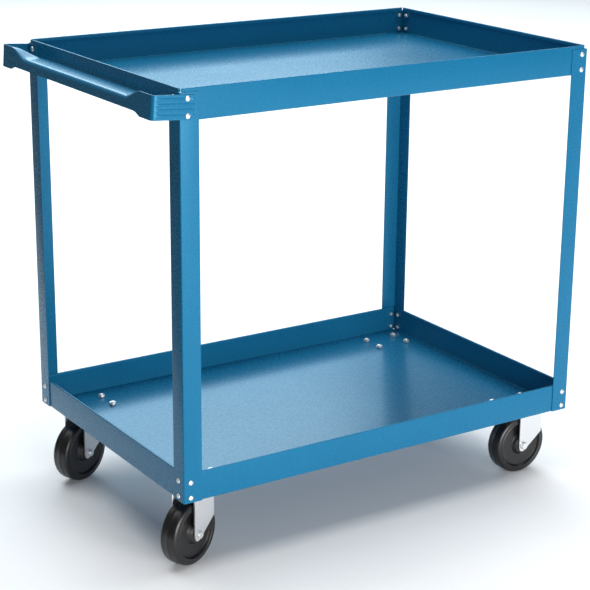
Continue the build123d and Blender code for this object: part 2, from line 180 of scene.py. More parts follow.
def zinc_plate(name, colour, shine):
    """Bright zinc plate on steel. Pale metal whose cloudy passivation shifts its gloss."""
    material, place = blank_material(name)
    clouds = add_node(material, "TexNoise", {"Vector": place, "Scale": lumps(9)})
    grit = add_node(material, "TexNoise", {"Vector": place, "Scale": lumps(0.8), "Detail": 3})
    shade = add_node(
        material, "Mix",
        {0: clouds.outputs[0], 6: toned(colour, 0.88), 7: toned(colour, 1)}, data_type="RGBA",
    )
    gloss = add_node(
        material, "MapRange", {"Value": clouds.outputs[0], "To Min": shine, "To Max": shine + 0.16}
    )
    frosted = add_node(
        material, "Bump", {"Height": grit.outputs[0], "Distance": 0.02 * MM, "Strength": 0.4}
    )
    plate = add_node(
        material, "BsdfPrincipled",
        {
            "Base Color": shade.outputs[2], "Roughness": gloss.outputs[0],
            "Normal": frosted.outputs[0], "Metallic": 1,
        },
    )
    add_node(material, "OutputMaterial", {"Surface": plate.outputs[0]})
    return material


def moulded_phenolic(colour):
    """Moulded phenolic wheel. Black with a semi-gloss skin, faint flow clouds and fine pits."""
    material, place = blank_material("moulded_phenolic")
    clouds = add_node(material, "TexNoise", {"Vector": place, "Scale": lumps(14)})
    pits = add_node(material, "TexNoise", {"Vector": place, "Scale": lumps(0.9), "Detail": 4})
    shade = add_node(
        material, "Mix",
        {0: clouds.outputs[0], 6: toned(colour, 0.75), 7: toned(colour, 1.3)}, data_type="RGBA",
    )
    gloss = add_node(material, "MapRange", {"Value": clouds.outputs[0], "To Min": 0.28, "To Max": 0.46})
    pitted = add_node(
        material, "Bump", {"Height": pits.outputs[0], "Distance": 0.06 * MM, "Strength": 0.5}
    )
    moulding = add_node(
        material, "BsdfPrincipled",
        {
            "Base Color": shade.outputs[2], "Roughness": gloss.outputs[0],
            "Normal": pitted.outputs[0], "IOR": 1.55,
        },
    )
    add_node(material, "OutputMaterial", {"Surface": moulding.outputs[0]})
    return material


def bearing_steel(colour):
    """Hardened and ground steel. Dark bright metal with fine grinding haze."""
    material, place = blank_material("bearing_steel")
    haze = add_node(material, "TexNoise", {"Vector": place, "Scale": lumps(0.6), "Detail": 3})
    shade = add_node(
        material, "Mix",
        {0: haze.outputs[0], 6: toned(colour, 0.9), 7: toned(colour, 1)}, data_type="RGBA",
    )
    gloss = add_node(material, "MapRange", {"Value": haze.outputs[0], "To Min": 0.12, "To Max": 0.22})
    steel = add_node(
        material, "BsdfPrincipled",
        {"Base Color": shade.outputs[2], "Roughness": gloss.outputs[0], "Metallic": 1},
    )
    add_node(material, "OutputMaterial", {"Surface": steel.outputs[0]})
    return material


def sintered_bronze(colour):
    """Oil-filled sintered bronze. Dull brown metal with open pores."""
    material, place = blank_material("sintered_bronze")
    pores = add_node(material, "TexNoise", {"Vector": place, "Scale": lumps(0.4), "Detail": 4})
    shade = add_node(
        material, "Mix",
        {0: pores.outputs[0], 6: toned(colour, 0.6), 7: toned(colour, 1)}, data_type="RGBA",
    )
    gloss = add_node(material, "MapRange", {"Value": pores.outputs[0], "To Min": 0.4, "To Max": 0.6})
    porous = add_node(
        material, "Bump", {"Height": pores.outputs[0], "Distance": 0.05 * MM, "Strength": 0.6}
    )
    bronze = add_node(
        material, "BsdfPrincipled",
        {
            "Base Color": shade.outputs[2], "Roughness": gloss.outputs[0],
            "Normal": porous.outputs[0], "Metallic": 1,
        },
    )
    add_node(material, "OutputMaterial", {"Surface": bronze.outputs[0]})
    return material


def matt_floor(colour):
    """Painted studio floor. Pale and matt, with the faintest roller texture."""
    material, place = blank_material("matt_floor")
    roller = add_node(material, "TexNoise", {"Vector": place, "Scale": lumps(6), "Detail": 3})
    shade = add_node(
        material, "Mix",
        {0: roller.outputs[0], 6: toned(colour, 0.985), 7: toned(colour, 1)}, data_type="RGBA",
    )
    gloss = add_node(material, "MapRange", {"Value": roller.outputs[0], "To Min": 0.8, "To Max": 0.95})
    paint = add_node(
        material, "BsdfPrincipled", {"Base Color": shade.outputs[2], "Roughness": gloss.outputs[0]}
    )
    add_node(material, "OutputMaterial", {"Surface": paint.outputs[0]})
    return material


def shared_material(make, *arguments):
    """A material made once, and found again by its maker's name or its own."""
    name = arguments[0] if isinstance(arguments[0], str) else make.__name__
    return bpy.data.materials.get(name) or make(*arguments)


# ---- Mesh helpers ----


def everything(mesh):
    return mesh.verts[:] + mesh.edges[:] + mesh.faces[:]


def round_off(mesh, geometry, radius, segments, affect="EDGES"):
    return bmesh.ops.bevel(
        mesh, geom=geometry, offset=radius, segments=segments, profile=0.5, affect=affect,
        material=-1, clamp_overlap=True,
    )


def cut_across(mesh, point, normal):
    bmesh.ops.bisect_plane(
        mesh, geom=everything(mesh), dist=HAIR / 10, plane_co=point, plane_no=normal
    )


def turn_outwards(mesh, inside):
    """Point the faces of an open sheet away from a point on its inner side."""
    bmesh.ops.recalc_face_normals(mesh, faces=mesh.faces[:])
    facing = sum(
        f.calc_area() * f.normal.dot(f.calc_center_median() - inside) for f in mesh.faces
    )
    if facing < 0:
        bmesh.ops.reverse_faces(mesh, faces=mesh.faces[:])


def carry_on(mesh, edges, move):
    """Extrude a sheet's border edges by a move, and return the new border."""
    made = bmesh.ops.extrude_edge_only(mesh, edges=edges)["geom"]
    new = {item for item in made if isinstance(item, bmesh.types.BMVert)}
    bmesh.ops.translate(mesh, verts=list(new), vec=move)
    return [
        item for item in made
        if isinstance(item, bmesh.types.BMEdge) and new.issuperset(item.verts)
    ]


def outline_face(mesh, points):
    return mesh.faces.new([mesh.verts.new(point) for point in points])


def spin_round(mesh, outline, steps):
    """Spin an outline's verts and edges once round Z, close its seam and point it outwards."""
    bmesh.ops.spin(
        mesh, geom=outline, cent=(0, 0, 0), axis=UP, dvec=(0, 0, 0),
        angle=math.tau, steps=steps, use_merge=True,
    )
    bmesh.ops.remove_doubles(mesh, verts=mesh.verts[:], dist=HAIR)
    bmesh.ops.recalc_face_normals(mesh, faces=mesh.faces[:])


def turned(mesh, outline, steps, closed=False):
    """Turn a solid from an outline of (radius, height) points."""
    verts = [mesh.verts.new((radius, 0, height)) for radius, height in outline]
    edges = [mesh.edges.new(pair) for pair in zip(verts, verts[1:])]
    if closed:
        edges.append(mesh.edges.new((verts[-1], verts[0])))
    spin_round(mesh, verts + edges, steps)


def frame_at(point, direction):
    """Placement whose Z runs along a direction."""
    turn = UP.rotation_difference(Vector(direction)).to_matrix().to_4x4()
    return Matrix.Translation(point) @ turn


def stamped(source, places):
    """One mesh with a copy of the source at each place."""
    pattern = bpy.data.meshes.new("pattern")
    source.to_mesh(pattern)
    source.free()
    result = bmesh.new()
    for place in places:
        before = len(result.verts)
        result.from_mesh(pattern)
        result.verts.ensure_lookup_table()
        bmesh.ops.transform(result, matrix=place, verts=result.verts[before:])
    bpy.data.meshes.remove(pattern)
    return result


def make_piece(mesh, name, slot, material, *nodes, sharp=35.0):
    """Turn a finished bmesh into a piece that stands for its nodes and rides on their body."""
    data = bpy.data.meshes.new(name)
    mesh.to_mesh(data)
    mesh.free()
    data.materials.append(material)
    data.shade_smooth()
    data.set_sharp_from_angle(angle=math.radians(sharp))
    piece = bpy.data.objects.new(name, data)
    bpy.context.scene.collection.objects.link(piece)
    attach(piece, frame["nodes"][nodes[0]]["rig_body"])
    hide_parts(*nodes)
    return piece


def thicken(piece, thickness):
    wall = piece.modifiers.new("sheet", "SOLIDIFY")
    wall.thickness = thickness
    wall.offset = -1
    wall.use_even_offset = True


def ease_edges(piece, width, segments=2):
    ease = piece.modifiers.new("eased_edges", "BEVEL")
    ease.width = width
    ease.segments = segments
    ease.limit_method = "ANGLE"
    ease.angle_limit = math.radians(40)
    ease.harden_normals = True


# ---- Fasteners ----


# Sides of a turned bolt or nut
FASTENER_STEPS = 24
# Share of its pitch that a metric thread is deep
THREAD_DEPTH = 0.55


def thread_outline(radius, start, end, pitch):
    """Crests and roots of a thread along Z, from start down to end."""
    root = radius - THREAD_DEPTH * pitch
    count = max(1, round((start - end) / pitch))
    points = []
    for i in range(count):
        points += [(root, start - i * pitch), (radius, start - (i + 0.5) * pitch)]
    return points + [(root, end)]


def domed_bolt(radius, head_radius, head_height, grip, length, pitch):
    """Round-headed bolt along Z, its head above zero."""
    rim = 0.27 * head_height
    slopes = [math.radians(angle) for angle in range(0, 91, 15)]
    dome = [
        (head_radius * math.sin(t), rim + (head_height - rim) * math.cos(t)) for t in slopes
    ]
    thread = thread_outline(radius, -grip, -length, pitch)
    outline = dome + [(head_radius, 0), (radius, 0), (radius, -grip)] + thread + [(0, -length)]
    mesh = bmesh.new()
    turned(mesh, outline, FASTENER_STEPS)
    return mesh


def hexagon(mesh, flats, height, bore):
    """Chamfered hexagon along Z, bored through if bore isn't zero."""
    apothem = flats / 2
    chamfer = 0.14 * height
    ends = 0.95 * apothem
    outline = [
        (bore, 0), (ends, 0), (apothem, chamfer),
        (apothem, height - chamfer), (ends, height), (bore, height),
    ]
    turned(mesh, outline, FASTENER_STEPS, closed=bore > 0)
    sixth = math.radians(60)
    for vert in mesh.verts:
        radius = math.hypot(vert.co.x, vert.co.y)
        # Push the widest ring out from a circle to the hexagon's corners
        if abs(radius - apothem) < HAIR:
            swing = math.atan2(vert.co.y, vert.co.x) % sixth - sixth / 2
            vert.co.x /= math.cos(swing)
            vert.co.y /= math.cos(swing)


def hex_nut(flats, height, bore):
    mesh = bmesh.new()
    hexagon(mesh, flats, height, bore)
    return mesh


def hex_bolt(radius, flats, head_height, grip, length, pitch):
    """Hexagon-headed bolt along Z, its head above zero."""
    head = bmesh.new()
    hexagon(head, flats, head_height, 0)
    shank = bmesh.new()
    thread = thread_outline(radius, -grip, -length, pitch)
    turned(shank, [(0, 0), (radius, 0), (radius, -grip), *thread, (0, -length)], FASTENER_STEPS)
    shank_data = bpy.data.meshes.new("shank")
    shank.to_mesh(shank_data)
    shank.free()
    head.from_mesh(shank_data)
    bpy.data.meshes.remove(shank_data)
    return head


# ---- Settings ----


class CartSizes(bpy.types.PropertyGroup):
    tray_sheet: length_setting("Tray sheet", "Thickness of the tray steel", 1.5)
    tray_bend: length_setting("Tray bend", "Outer radius where a flange turns up", 2.5)
    hem_width: length_setting("Hem width", "Width of the folded hem on a tray's rim", 4)
    hem_depth: length_setting("Hem depth", "How far the hem turns down inside", 7)
    corner_relief: length_setting("Corner relief", "Square cut from each tray corner", 5)
    leg_sheet: length_setting("Leg sheet", "Thickness of the angle legs", 2)
    leg_bend: length_setting("Leg bend", "Outer radius of a leg's corner", 2.8)
    edge_ease: length_setting("Eased edge", "Rounding of cut sheet edges", 0.5)
    side_bolt_inset: length_setting("Side bolt inset", "From a leg's end face to a side bolt", 14)
    end_bolt_inset: length_setting("End bolt inset", "From a leg's side face to an end bolt", 20)
    low_bolt_rise: length_setting("Low bolt rise", "From a tray's underside to its low bolts", 10)
    bolt_spacing: length_setting("Bolt spacing", "Between a corner's two bolts", 30)
    bolt_radius: length_setting("Bolt radius", "Radius of the frame bolts", 2.5)
    head_radius: length_setting("Head radius", "Radius of a frame bolt's domed head", 5)
    head_height: length_setting("Head height", "Height of a frame bolt's domed head", 3)
    nut_flats: length_setting("Nut flats", "Frame nut across its flats", 8)
    nut_height: length_setting("Nut height", "Height of a frame nut", 4)
    thread_past: length_setting("Thread past nut", "How far a frame bolt stands past its nut", 1.5)
    bolt_thread: length_setting("Bolt thread", "Pitch of the frame bolts' thread", 0.8)


class HandleSizes(bpy.types.PropertyGroup):
    sheet: length_setting("Sheet", "Thickness of the handle steel", 3)
    height: length_setting("Height", "Height of the arms and ears", 43)
    tilt: FloatProperty(
        name="Tilt", description="Rise of the handle away from the cart", unit="ROTATION",
        default=math.radians(4.3),
    )
    lap: length_setting("Lap", "How far an arm runs past its bolts", 14)
    corner: length_setting("Corner", "Outer radius of the corners between arm and ear", 8)
    ear_width: length_setting("Ear width", "Full-height stretch beside each corner", 43)
    dip_run: length_setting("Dip run", "Width over which the top edge falls", 62)
    grip_top: length_setting("Grip top", "Grip's top above the handle's middle line", 6)
    grip_foot: length_setting("Grip foot", "Grip's lower edge below the middle line", 15)
    foot_run: length_setting("Foot run", "Width over which the lower edge rises", 17)
    roll: length_setting("Roll", "Radius of the grip's rolled top", 9)
    depth: length_setting("Depth", "Depth of the grip's hood", 46)
    lip: length_setting("Lip", "Depth of the turned-down back lip", 6)
    rib_count: IntProperty(name="Ribs", description="Pressed ribs on each arm", default=4, min=0)
    rib_pitch: length_setting("Rib pitch", "Between two ribs", 9.3)
    rib_width: length_setting("Rib width", "Width of a rib", 5)
    rib_rise: length_setting("Rib rise", "Height of a rib", 0.8)


class CasterSizes(bpy.types.PropertyGroup):
    plate_corner: length_setting("Plate corner", "Corner radius of the mounting plate", 8)
    bolt_pitch_x: length_setting("Bolt pitch X", "Mounting bolts, along the cart", 76)
    bolt_pitch_y: length_setting("Bolt pitch Y", "Mounting bolts, across the cart", 51)
    bolt_radius: length_setting("Bolt radius", "Radius of the mounting bolts", 4)
    bolt_flats: length_setting("Bolt flats", "Mounting bolts across their flats", 13)
    head_height: length_setting("Head height", "Height of a mounting bolt's head", 5)
    nut_height: length_setting("Nut height", "Height of a mounting nut", 6.5)
    thread_past: length_setting("Thread past nut", "How far a bolt stands past its nut", 2)
    bolt_thread: length_setting("Mounting thread", "Pitch of the mounting bolts", 1.25)
    plate_ease: length_setting("Plate ease", "Rounding of a plate's edges", 0.4)
    race_inner: length_setting("Race bore radius", "Inside of the raceway under a plate", 15)
    race_outer: length_setting("Race radius", "Outside of the raceway under a plate", 25)
    groove_inner: length_setting("Groove inner radius", "Inner edge of the ball groove", 16.5)
    groove_outer: length_setting("Groove outer radius", "Outer edge of the ball groove", 23.5)
    groove_depth: length_setting("Groove depth", "Depth of the ball groove", 2.2)
    fork_sheet: length_setting("Fork sheet", "Thickness of the fork steel", 3)
    fork_ease: length_setting("Fork ease", "Rounding of a fork's cut edges", 0.7)
    fork_width: length_setting("Fork width", "Across the outsides of a fork", 52)
    fork_drop: length_setting("Fork drop", "Room for the raceway above a swivel fork", 8)
    swivel_lead: length_setting("Swivel lead", "From the axle to the kingpin, in plan", 38.5)
    notch_start: length_setting("Notch start", "Rear end of a rigid crown's notch", 20.5)
    notch_end: length_setting("Notch end", "Front end of a rigid crown's notch", 37.5)
    notch_depth: length_setting("Notch depth", "How far down the notch is cut", 6)
    notch_inner: length_setting("Notch inner side", "From the middle to the notch", 17)
    fork_fold: length_setting("Fork fold", "Outer radius between crown and leg", 4)
    fork_front: length_setting("Fork front", "Front edge ahead of the axle", 46)
    fork_knee: length_setting("Fork knee", "Where the front edge slants, above the axle", 24)
    fork_toe: length_setting("Fork toe", "Radius of the toe round the axle", 11)
    axle_radius: length_setting("Axle radius", "Radius of the axle bolts", 4.75)
    axle_flats: length_setting("Axle flats", "Axle bolts across their flats", 14)
    axle_head: length_setting("Axle head", "Height of an axle bolt's head", 5.5)
    axle_nut: length_setting("Axle nut", "Height of an axle nut", 7)
    axle_thread: length_setting("Axle thread", "Pitch of the axle bolts' thread", 1.5)
    tread: length_setting("Tread width", "Width of the wheel's tread and faces", 38)
    shoulder: length_setting("Shoulder", "Radius of the tread's shoulders", 8)
    rim_inner: length_setting("Rim inner radius", "Where the wheel's dish starts", 49)
    dish: length_setting("Dish depth", "Depth of the dish in the wheel's face", 5)
    hub_radius: length_setting("Hub radius", "Radius of the hub's face", 17)
    hub_length: length_setting("Hub length", "Length of the hub along the axle", 44)
    bore_radius: length_setting("Bore radius", "Radius of the hub's bore", 11)
    rim_bead: length_setting("Rim bead", "Height of the bead round the dish", 0.6)
    mould_radius: length_setting("Mould radius", "Rounding of the wheel's inner corners", 1.2)
    parting_line: length_setting("Parting line", "Height of the moulding line on the tread", 0.35)


class CartColours(bpy.types.PropertyGroup):
    enamel: colour_setting("Enamel", "Baked enamel on the steel sheet", "15648a")
    fastener: colour_setting("Fasteners", "Zinc plate on bolts and nuts", "dfe4e8")
    caster: colour_setting("Casters", "Zinc plate on forks and plates", "eef1f4")
    wheel: colour_setting("Wheels", "Moulded wheels", "0d0b0c")
    steel: colour_setting("Bearings", "Ground steel of balls and races", "a7abb0")
    bronze: colour_setting("Bushings", "Sintered bronze", "8d6b43")
    floor: colour_setting("Floor", "Studio floor", "f0f1f2")


# ---- Places worked out from the design ----


def middle_of(node):
    low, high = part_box(node)
    return (low + high) / 2


def leg_corner(corner):
    """Outer corner of a leg in plan, with its sides."""
    side_x, side_y = CORNERS[corner]
    low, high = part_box(f"{corner}_leg")
    x = high.x if side_x > 0 else low.x
    y = high.y if side_y > 0 else low.y
    return x, y, side_x, side_y


def bolt_places(sizes):
    """Placements of the leg bolts and of the handle's bolts, on the legs' outer faces."""
    legs, arms = [], []
    for shelf in ("upper", "lower"):
        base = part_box(f"{shelf}_tray")[0].z + sizes.low_bolt_rise
        for corner in CORNERS:
            x, y, side_x, side_y = leg_corner(corner)
            for z in (base, base + sizes.bolt_spacing):
                side = frame_at((x - side_x * sizes.side_bolt_inset, y, z), (0, side_y, 0))
                end = frame_at((x, y - side_y * sizes.end_bolt_inset, z), (side_x, 0, 0))
                (arms if side_x < 0 and shelf == "upper" else legs).append(side)
                legs.append(end)
    return legs, arms


def caster_places(sizes):
    """Points of the casters' mounting bolts, on the underside of the lower tray."""
    places = []
    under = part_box("lower_tray")[0].z
    for corner in CORNERS:
        middle = middle_of(f"{corner}_caster_plate")
        for x_step in (-sizes.bolt_pitch_x / 2, sizes.bolt_pitch_x / 2):
            for y_step in (-sizes.bolt_pitch_y / 2, sizes.bolt_pitch_y / 2):
                places.append(Vector((middle.x + x_step, middle.y + y_step, under)))
    return places


def caster_frame(corner):
    """Axle point and the directions ahead and outwards along the axle."""
    axle = middle_of(f"{corner}_wheel")
    ahead = Vector((1, 0, 0))
    if f"{corner}_kingpin" in frame["nodes"]:
        ahead = middle_of(f"{corner}_kingpin") - axle
        ahead.z = 0
        ahead.normalize()
    across = UP.cross(ahead)
    return axle, ahead, across * CORNERS[corner][1]


def side_view(axle, ahead):
    """Placement whose X runs ahead, Y up and Z along the axle."""
    turn = Matrix((ahead, UP, ahead.cross(UP))).transposed().to_4x4()
    return Matrix.Translation(axle) @ turn


# ---- Operators ----


class CART_OT_trays(bpy.types.Operator):
    """Fold the two trays, each a deck with its corners cut out and four flanges turned up"""

    bl_idname = "cart.trays"
    bl_label = "Trays"

    def execute(self, context):
        sizes = context.scene.cart_sizes
        paint = shared_material(baked_enamel, context.scene.cart_colours.enamel)
        for shelf in ("upper", "lower"):
            low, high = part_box(f"{shelf}_tray")
            middle = (low + high) / 2
            mesh = bmesh.new()
            deck = Matrix.Translation((middle.x, middle.y, low.z))
            span = Matrix.Diagonal((high.x - low.x, high.y - low.y, 1, 1))
            bmesh.ops.create_grid(mesh, x_segments=1, y_segments=1, size=0.5, matrix=deck @ span)
            relief = Vector((sizes.corner_relief, sizes.corner_relief, 0))
            for point in (low + relief, high - relief):
                cut_across(mesh, point, (1, 0, 0))
                cut_across(mesh, point, (0, 1, 0))
            # The four squares are the only faces of about this area
            corners = [f for f in mesh.faces if f.calc_area() < 1.5 * sizes.corner_relief**2]
            bmesh.ops.delete(mesh, geom=corners, context="FACES")
            bends, hems = [], []
            for axis in (0, 1):
                for limit in (low[axis], high[axis]):
                    bend = [
                        e for e in mesh.edges
                        if all(abs(v.co[axis] - limit) < HAIR for v in e.verts)
                    ]
                    inwards = Vector()
                    inwards[axis] = math.copysign(sizes.hem_width, middle[axis] - limit)
                    rim = carry_on(mesh, bend, (high.z - low.z) * UP)
                    shoulder = carry_on(mesh, rim, inwards)
                    carry_on(mesh, shoulder, -sizes.hem_depth * UP)
                    bends += bend
                    hems += rim + shoulder
            round_off(mesh, bends, sizes.tray_bend, 4)
            round_off(mesh, hems, 0.4 * sizes.hem_width, 4)
            turn_outwards(mesh, Vector((middle.x, middle.y, high.z)))
            piece = make_piece(
                mesh, f"{shelf}_tray_pan", "blue_enamel", paint, f"{shelf}_tray"
            )
            thicken(piece, sizes.tray_sheet)
            ease_edges(piece, sizes.edge_ease)
        return {"FINISHED"}


class CART_OT_legs(bpy.types.Operator):
    """Fold the four angle legs"""

    bl_idname = "cart.legs"
    bl_label = "Legs"

    def execute(self, context):
        sizes = context.scene.cart_sizes
        paint = shared_material(baked_enamel, context.scene.cart_colours.enamel)
        for corner in CORNERS:
            low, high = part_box(f"{corner}_leg")
            x, y = leg_corner(corner)[:2]
            inner_x = low.x + high.x - x
            inner_y = low.y + high.y - y
            mesh = bmesh.new()
            foot = [
                mesh.verts.new(p)
                for p in ((inner_x, y, low.z), (x, y, low.z), (x, inner_y, low.z))
            ]
            sides = [mesh.edges.new(pair) for pair in zip(foot, foot[1:])]
            carry_on(mesh, sides, (high.z - low.z) * UP)
            fold = [e for e in mesh.edges if len(e.link_faces) == 2]
            round_off(mesh, fold, sizes.leg_bend, 5)
            turn_outwards(mesh, Vector((inner_x, inner_y, (low.z + high.z) / 2)))
            piece = make_piece(
                mesh, f"{corner}_leg_angle", "blue_enamel", paint, f"{corner}_leg"
            )
            thicken(piece, sizes.leg_sheet)
            ease_edges(piece, sizes.edge_ease)
        return {"FINISHED"}


class HandleForm:
    """Where each point of the pressed handle's sheet lies, from its station and its row."""

    # Divisions along the sheet, and up its wall and back over the grip
    arm_steps, corner_steps, ear_steps, grip_steps = 26, 8, 8, 72
    wall_rows, roll_rows, hood_rows, lip_rows = 54, 8, 4, 5
    # Radius of the roll and depths of the hood and the lip where they die out at an ear
    least_roll, least_depth, least_lip = 1 * MM, 4 * MM, 1 * MM
    lip_bend = 2.5 * MM
    # Plain sheet round a bolt's head, and the length over which a rib fades
    bolt_margin, rib_fade = 3 * MM, 3 * MM

    def __init__(self, handle, cart):
        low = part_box("push_handle")[0]
        x, y, side_x, side_y = leg_corner("rear_left")
        self.handle = handle
        self.half = handle.height / 2
        self.out = Vector((-math.cos(handle.tilt), 0, math.sin(handle.tilt)))
        self.up = Vector((math.sin(handle.tilt), 0, math.cos(handle.tilt)))
        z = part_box("upper_tray")[0].z + cart.low_bolt_rise + cart.bolt_spacing / 2
        self.origin = Vector((x - side_x * cart.side_bolt_inset, 0, z))
        reach = self.origin.x - low.x - self.half * math.sin(handle.tilt)
        self.front = reach / math.cos(handle.tilt)
        self.side = y + side_y * handle.sheet
        self.bolt_half = cart.bolt_spacing / 2
        self.bolt_clear = cart.head_radius + self.bolt_margin
        self.grip_half = self.side - handle.ear_width
        self.stations = self.plan_stations()

    def plan_stations(self):
        """Points of the sheet's outer face in plan, as (out, across), from one arm to the other."""
        handle = self.handle
        bend_out = self.front - handle.corner
        bend_side = self.side - handle.corner
        points = [
            (-handle.lap + (bend_out + handle.lap) * i / self.arm_steps, self.side)
            for i in range(self.arm_steps)
        ]
        for i in range(self.corner_steps):
            angle = math.pi / 2 * (1 - i / self.corner_steps)
            points.append(
                (bend_out + handle.corner * math.cos(angle),
                 bend_side + handle.corner * math.sin(angle))
            )
        ear = bend_side - self.grip_half
        points += [(self.front, bend_side - ear * i / self.ear_steps) for i in range(self.ear_steps)]
        half = self.grip_steps // 2
        points += [(self.front, self.grip_half * (1 - i / half)) for i in range(half)]
        return points + [(self.front, 0)] + [(out, -across) for out, across in reversed(points)]

    def past_ear(self, across, run):
        """0 at an ear, rising to 1 over a run towards the grip."""
        return max(0.0, min(1.0, (self.grip_half - abs(across)) / run))

    def dip(self, across):
        """0 at an ear and 1 along the grip, with a smooth step between."""
        share = self.past_ear(across, self.handle.dip_run)
        return share * share * (3 - 2 * share)

    def top(self, across):
        return self.half + (self.handle.grip_top - self.half) * self.dip(across)

    def foot(self, across):
        share = self.past_ear(across, self.handle.foot_run)
        return -self.half + (self.half - self.handle.grip_foot) * share

    def rib(self, out, up):
        """Height of the pressed ribs on an arm, which fade out round the bolts."""
        handle = self.handle
        height = 0.0
        for i in range(handle.rib_count):
            centre = (i - (handle.rib_count - 1) / 2) * handle.rib_pitch
            share = 1 - ((up - centre) / (handle.rib_width / 2)) ** 2
            height = max(height, share)
        from_bolt = math.hypot(out, abs(up) - self.bolt_half) - self.bolt_clear
        from_corner = self.front - handle.corner - out
        from_end = out + handle.lap
        fade = max(0.0, min(1.0, min(from_bolt, from_corner, from_end) / self.rib_fade))
        return handle.rib_rise * height * fade

    def point(self, station, row):
        """Up the wall, round the roll, back over the hood and down round the lip."""
        handle = self.handle
        out, across = self.stations[station]
        dip = self.dip(across)
        top = self.top(across)
        roll = self.least_roll + (handle.roll - self.least_roll) * dip
        if row <= self.wall_rows:
            foot = self.foot(across)
            crest = top if abs(across) >= self.grip_half else top - roll
            up = foot + (crest - foot) * row / self.wall_rows
            bulge = self.rib(out, up) if abs(across) >= self.side - HAIR else 0.0
            return self.place(out, across + math.copysign(bulge, across), up)
        row -= self.wall_rows
        if row <= self.roll_rows:
            angle = math.pi / 2 * row / self.roll_rows
            back = roll - roll * math.cos(angle)
            return self.place(out - back, across, top - roll + roll * math.sin(angle))
        row -= self.roll_rows
        share = self.past_ear(across, handle.dip_run)
        depth = self.least_depth + (handle.depth - self.least_depth) * share
        lip = self.least_lip + (handle.lip - self.least_lip) * dip
        bend = min(self.lip_bend, 0.9 * lip)
        if row <= self.hood_rows:
            back = roll + (depth - bend - roll) * row / self.hood_rows
            return self.place(out - back, across, top)
        row -= self.hood_rows
        if row < self.lip_rows:
            angle = math.pi / 2 * row / (self.lip_rows - 1)
            back = depth - bend + bend * math.sin(angle)
            return self.place(out - back, across, top - bend + bend * math.cos(angle))
        return self.place(out - depth, across, top - lip)

    def place(self, out, across, up):
        spot = self.origin + out * self.out + up * self.up
        spot.y = across
        return spot


class CART_OT_handle(bpy.types.Operator):
    """Press the push handle from one sheet: two ribbed arms, two ears and a rolled grip"""

    bl_idname = "cart.handle"
    bl_label = "Push handle"

    def execute(self, context):
        handle = context.scene.cart_handle
        form = HandleForm(handle, context.scene.cart_sizes)
        paint = shared_material(baked_enamel, context.scene.cart_colours.enamel)
        columns = len(form.stations) - 1
        rows = form.wall_rows + form.roll_rows + form.hood_rows + form.lip_rows
        mesh = bmesh.new()
        bmesh.ops.create_grid(mesh, x_segments=columns, y_segments=rows, size=0.5)
        # The hood is only as wide as the grip
        open_faces = []
        for face in mesh.faces:
            middle = face.calc_center_median()
            station = (middle.x + 0.5) * columns
            ends = form.stations[math.floor(station)], form.stations[math.ceil(station)]
            in_ear = max(abs(across) for _, across in ends) > form.grip_half + HAIR
            if in_ear and (middle.y + 0.5) * rows > form.wall_rows:
                open_faces.append(face)
        bmesh.ops.delete(mesh, geom=open_faces, context="FACES")
        for vert in mesh.verts:
            station = round((vert.co.x + 0.5) * columns)
            vert.co = form.point(station, round((vert.co.y + 0.5) * rows))
        turn_outwards(mesh, form.place(form.front / 2, 0, -form.half))
        piece = make_piece(
            mesh, "push_handle_pressing", "blue_enamel", paint, "push_handle", sharp=50
        )
        thicken(piece, handle.sheet)
        ease_edges(piece, context.scene.cart_sizes.edge_ease * 1.5)
        return {"FINISHED"}


class CART_OT_frame_bolts(bpy.types.Operator):
    """Fit the domed bolts through the legs and arms, and their nuts inside the trays"""

    bl_idname = "cart.frame_bolts"
    bl_label = "Frame bolts"

    def execute(self, context):
        sizes = context.scene.cart_sizes
        arm_sheet = context.scene.cart_handle.sheet
        zinc = shared_material(zinc_plate, "zinc_fastener", context.scene.cart_colours.fastener, 0.2)
        legs, arms = bolt_places(sizes)
        grip = sizes.leg_sheet + sizes.tray_sheet
        for name, places, lift in (("leg", legs, 0.0), ("handle", arms, arm_sheet)):
            length = grip + lift + sizes.nut_height + sizes.thread_past
            bolt = domed_bolt(
                sizes.bolt_radius, sizes.head_radius, sizes.head_height, grip + lift, length,
                sizes.bolt_thread,
            )
            heads = [place @ Matrix.Translation((0, 0, lift)) for place in places]
            bolts = stamped(bolt, heads)
            make_piece(bolts, f"{name}_bolt_set", "zinc_fastener", zinc, f"{name}_bolts")
            seat = Matrix.Translation((0, 0, -grip - sizes.nut_height))
            nut = hex_nut(sizes.nut_flats, sizes.nut_height, sizes.bolt_radius)
            nuts = stamped(nut, [place @ seat for place in places])
            make_piece(nuts, f"{name}_nut_set", "zinc_fastener", zinc, f"{name}_nuts")
        return {"FINISHED"}


